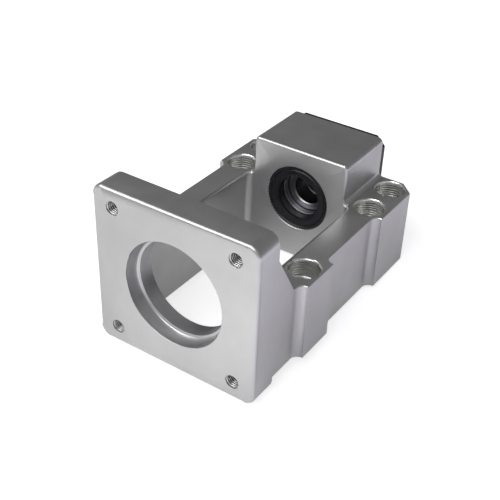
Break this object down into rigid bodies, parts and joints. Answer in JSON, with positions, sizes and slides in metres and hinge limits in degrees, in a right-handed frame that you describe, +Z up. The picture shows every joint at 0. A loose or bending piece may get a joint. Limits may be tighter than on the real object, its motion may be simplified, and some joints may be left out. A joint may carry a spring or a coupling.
{
  "type": "ball screw end support",
  "caption": "One-piece aluminium bracket with a square motor plate at the front, an open coupling bay, and a sealed bearing block with a rear cover that carries the end of a ball screw.",
  "frame": {"origin": "on the screw axis, in the plane of the motor's seating face, at the centre of the motor's bolt pattern", "axes": "+Y runs along the screw axis from the motor face to the rear cover, +Z is up and square to the mounting face, +X is to the right seen from the motor side"},
  "size_m": [0.07, 0.105, 0.061],
  "materials": {
    "satin_aluminium": "satin machined aluminium",
    "seal_rubber": "moulded black nitrile rubber",
    "bearing_steel": "ground bearing steel",
    "ball_steel": "polished bearing steel",
    "cage_polymer": "moulded polyamide",
    "spring_steel": "drawn spring wire",
    "black_cover": "black satin finish on metal",
    "black_screw": "black oxide on steel"
  },
  "bodies": {
    "bracket": {"housing": "satin_aluminium", "front_seal": "seal_rubber", "front_seal_spring": "spring_steel", "front_bearing_outer_ring": "bearing_steel", "rear_bearing_outer_ring": "bearing_steel", "rear_cover": "black_cover", "rear_seal": "seal_rubber", "rear_seal_spring": "spring_steel", "cover_screw_1": "black_screw", "cover_screw_2": "black_screw", "cover_screw_3": "black_screw", "cover_screw_4": "black_screw"},
    "front_inner_ring": {"front_bearing_inner_ring": "bearing_steel"},
    "front_cage": {"front_bearing_cage": "cage_polymer", "front_bearing_ball_1": "ball_steel", "front_bearing_ball_2": "ball_steel", "front_bearing_ball_3": "ball_steel", "front_bearing_ball_4": "ball_steel", "front_bearing_ball_5": "ball_steel", "front_bearing_ball_6": "ball_steel", "front_bearing_ball_7": "ball_steel", "front_bearing_ball_8": "ball_steel", "front_bearing_ball_9": "ball_steel"},
    "rear_inner_ring": {"rear_bearing_inner_ring": "bearing_steel"},
    "rear_cage": {"rear_bearing_cage": "cage_polymer", "rear_bearing_ball_1": "ball_steel", "rear_bearing_ball_2": "ball_steel", "rear_bearing_ball_3": "ball_steel", "rear_bearing_ball_4": "ball_steel", "rear_bearing_ball_5": "ball_steel", "rear_bearing_ball_6": "ball_steel", "rear_bearing_ball_7": "ball_steel", "rear_bearing_ball_8": "ball_steel", "rear_bearing_ball_9": "ball_steel"}
  },
  "joints": [
    {"name": "front_inner_ring_turn", "type": "hinge", "parent": "bracket", "child": "front_inner_ring", "pos_m": [0, 0.087, 0], "axis": [0, 1, 0], "continuous": true},
    {"name": "front_cage_turn", "type": "hinge", "parent": "bracket", "child": "front_cage", "pos_m": [0, 0.087, 0], "axis": [0, 1, 0], "continuous": true},
    {"name": "rear_inner_ring_turn", "type": "hinge", "parent": "bracket", "child": "rear_inner_ring", "pos_m": [0, 0.095, 0], "axis": [0, 1, 0], "continuous": true},
    {"name": "rear_cage_turn", "type": "hinge", "parent": "bracket", "child": "rear_cage", "pos_m": [0, 0.095, 0], "axis": [0, 1, 0], "continuous": true}
  ],
  "couplings": [
    {"joint": "front_cage_turn", "follows": "front_inner_ring_turn", "ratio": 0.381},
    {"joint": "rear_cage_turn", "follows": "rear_inner_ring_turn", "ratio": 0.381}
  ]
}
